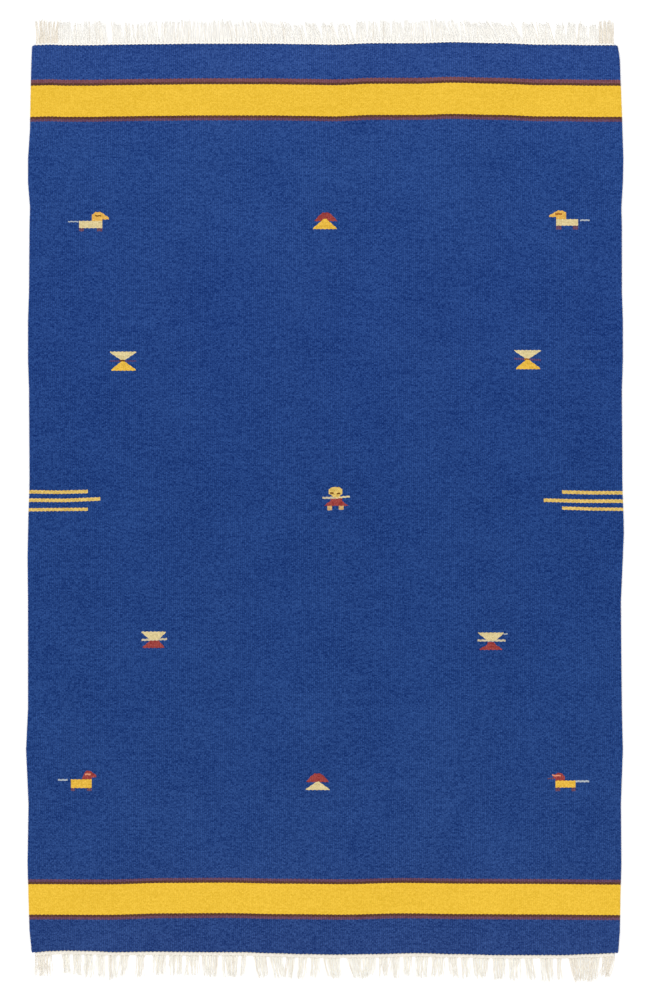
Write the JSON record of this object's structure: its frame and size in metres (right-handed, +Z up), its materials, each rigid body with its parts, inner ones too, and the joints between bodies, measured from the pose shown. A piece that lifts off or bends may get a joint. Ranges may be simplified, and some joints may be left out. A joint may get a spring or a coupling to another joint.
{
  "type": "kilim rug",
  "caption": "Flat-woven wool rug with end bands, small scattered motifs and a cotton fringe along each short end, made to lie flat on a floor.",
  "frame": {"origin": "on the floor, under the middle of the rug's whole outline with its fringes", "axes": "+X across the rug, +Y along it towards the far end, +Z up"},
  "size_m": [1.212, 1.954, 0.004],
  "materials": {
    "wool": "matte weft-faced wool flatweave",
    "cotton": "matte undyed cotton yarn"
  },
  "bodies": {
    "root": {"woven_cloth": "wool", "fringe_far_end": "cotton", "fringe_near_end": "cotton"}
  },
  "joints": []
}
